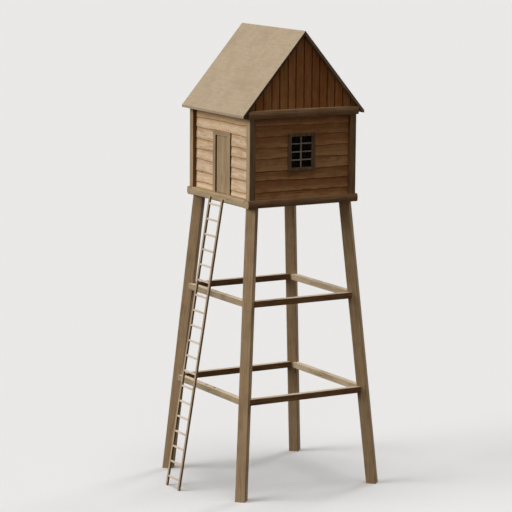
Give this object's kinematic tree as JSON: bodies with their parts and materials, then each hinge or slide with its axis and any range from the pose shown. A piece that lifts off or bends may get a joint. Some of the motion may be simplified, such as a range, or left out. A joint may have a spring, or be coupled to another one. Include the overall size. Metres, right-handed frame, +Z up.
{
  "type": "fire lookout tower",
  "caption": "Timber lookout tower: small planked cab with a steep gable roof on tall raking legs with brace rings, a leaning ladder and a hinged door.",
  "frame": {"origin": "on the ground under the middle of the cab, at equal distances from the four feet", "axes": "+Z up, -Y out of the door wall, where the ladder stands, X along the ridge"},
  "size_m": [4.8632, 5.7144, 13.3839],
  "materials": {
    "brace_timber": "weathered square timber",
    "deck_boards": "sawn, trodden",
    "door_boards": "upright boards, worn varnish",
    "door_timber": "planed, oiled",
    "frame_timber": "weathered squared logs, worn round on the weather edges",
    "gable_boards": "upright boards, worn varnish",
    "hinge_iron": "blackened, forged",
    "inner_timber": "sawn, sheltered",
    "ladder_timber": "bare, grey and worn",
    "leg_timber": "weathered square timber, oiled",
    "roof_planks": "bare, bleached",
    "wall_boards": "lapped boards, worn varnish",
    "window_glass": "clear sheet",
    "window_timber": "planed, oiled"
  },
  "bodies": {
    "tower": {"deck": "deck_boards", "door_head": "door_timber", "door_jambs": "door_timber", "door_pintles": "hinge_iron", "gable_left": "gable_boards", "gable_right": "gable_boards", "joists": "inner_timber", "ladder_rails": "ladder_timber", "ladder_rungs": "ladder_timber", "leg_back_left": "leg_timber", "leg_back_right": "leg_timber", "leg_front_left": "leg_timber", "leg_front_right": "leg_timber", "lower_braces": "brace_timber", "post_back_left": "frame_timber", "post_back_right": "frame_timber", "post_front_left": "frame_timber", "post_front_right": "frame_timber", "ridge_beam": "inner_timber", "roof_back": "roof_planks", "roof_front": "roof_planks", "sill_back": "frame_timber", "sill_front": "frame_timber", "sill_left": "frame_timber", "sill_right": "frame_timber", "tie_beam_left": "frame_timber", "tie_beam_right": "frame_timber", "upper_braces": "brace_timber", "wall_back": "wall_boards", "wall_left": "wall_boards", "wall_left_of_door": "wall_boards", "wall_over_door": "wall_boards", "wall_plate_back": "inner_timber", "wall_plate_front": "inner_timber", "wall_right": "wall_boards", "wall_right_of_door": "wall_boards", "window_frame_back": "window_timber", "window_frame_left": "window_timber", "window_frame_right": "window_timber", "window_glass_back": "window_glass", "window_glass_left": "window_glass", "window_glass_right": "window_glass"},
    "door": {"door_leaf": "door_boards", "door_straps": "hinge_iron"}
  },
  "joints": [
    {"name": "door_hinge", "type": "hinge", "parent": "tower", "child": "door", "pos_m": [-0.36, -1.556, 9.45], "axis": [0, 0, 1], "range_deg": [0, 100]}
  ]
}
